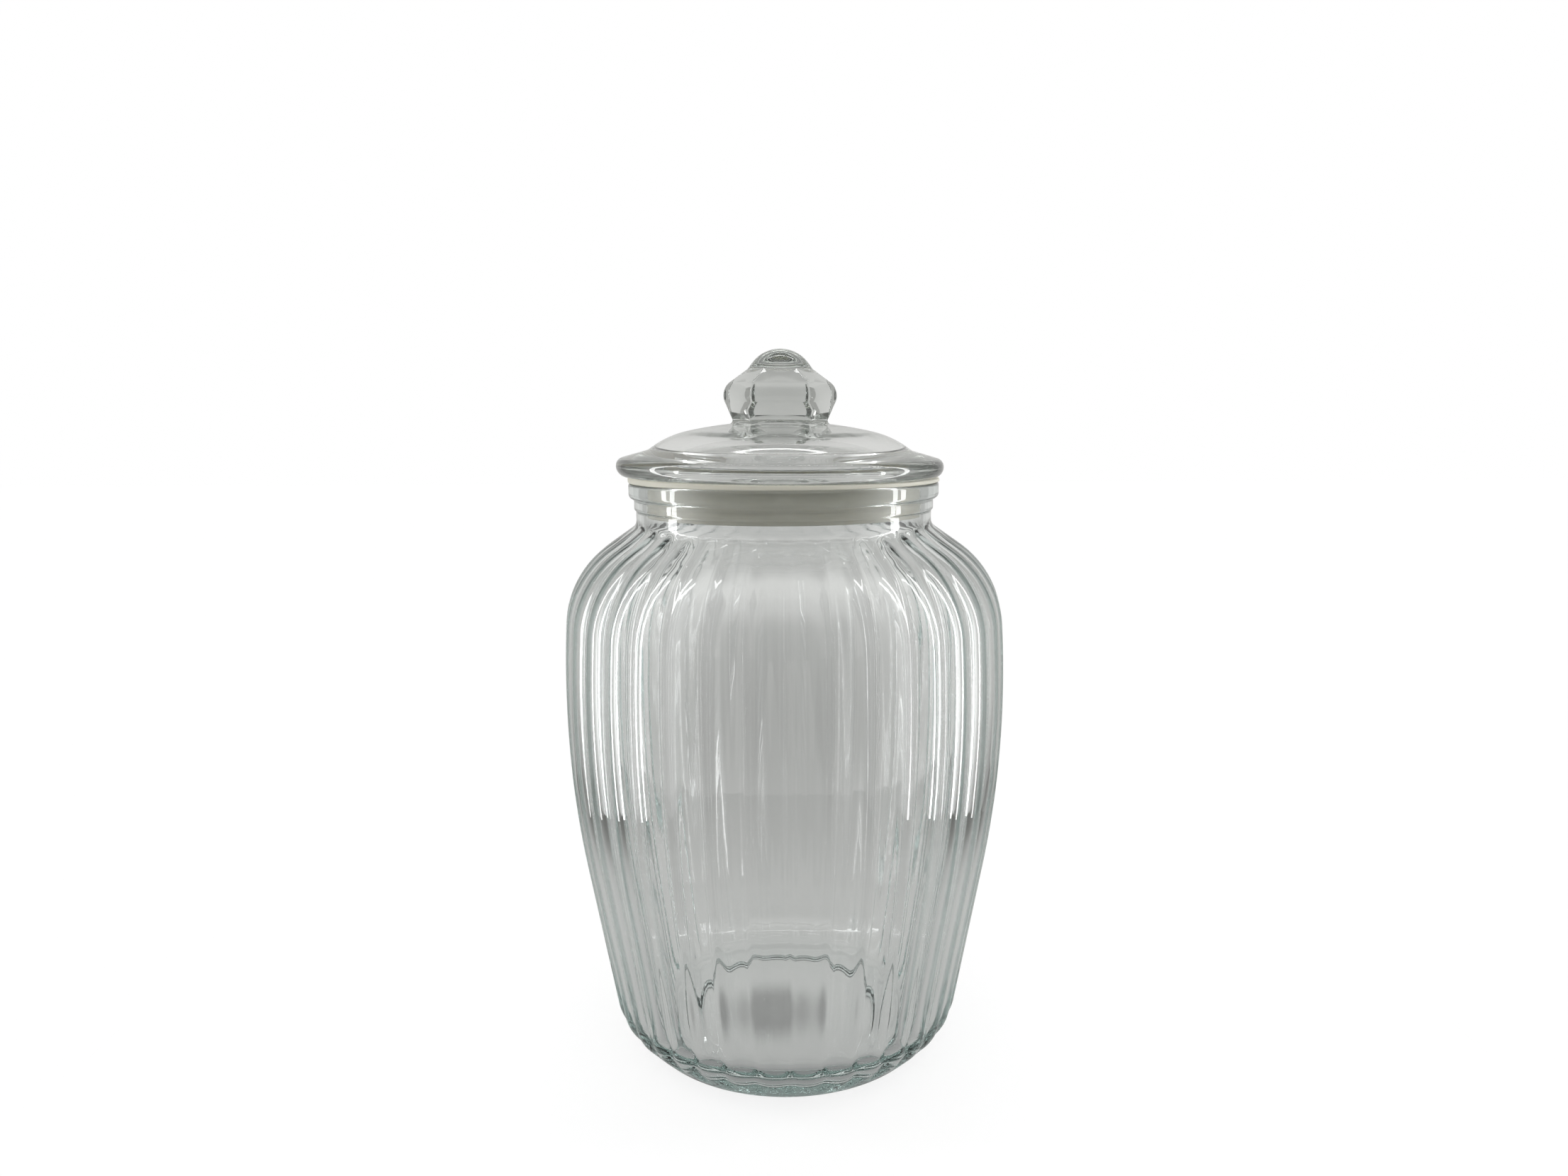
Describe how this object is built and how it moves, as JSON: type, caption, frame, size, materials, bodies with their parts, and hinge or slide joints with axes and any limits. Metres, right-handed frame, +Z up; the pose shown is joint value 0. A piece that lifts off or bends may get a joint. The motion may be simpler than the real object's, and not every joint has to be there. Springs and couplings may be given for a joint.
{
  "type": "ribbed glass candy jar",
  "caption": "Ribbed clear glass storage jar with a rounded shoulder, a soft seal ring, and a domed glass lid with a faceted knob, standing on a flat foot.",
  "frame": {"origin": "centre of the foot, in the plane that the jar stands on", "axes": "+Z up the jar's axis towards the knob; -Y towards the front, where one flat of the knob faces"},
  "size_m": [0.1848, 0.1848, 0.2948],
  "materials": {
    "jar_glass": "gloss",
    "seal_rubber": "satin",
    "lid_glass": "gloss"
  },
  "bodies": {
    "root": {"jar": "jar_glass", "seal": "seal_rubber", "lid": "lid_glass"}
  },
  "joints": []
}
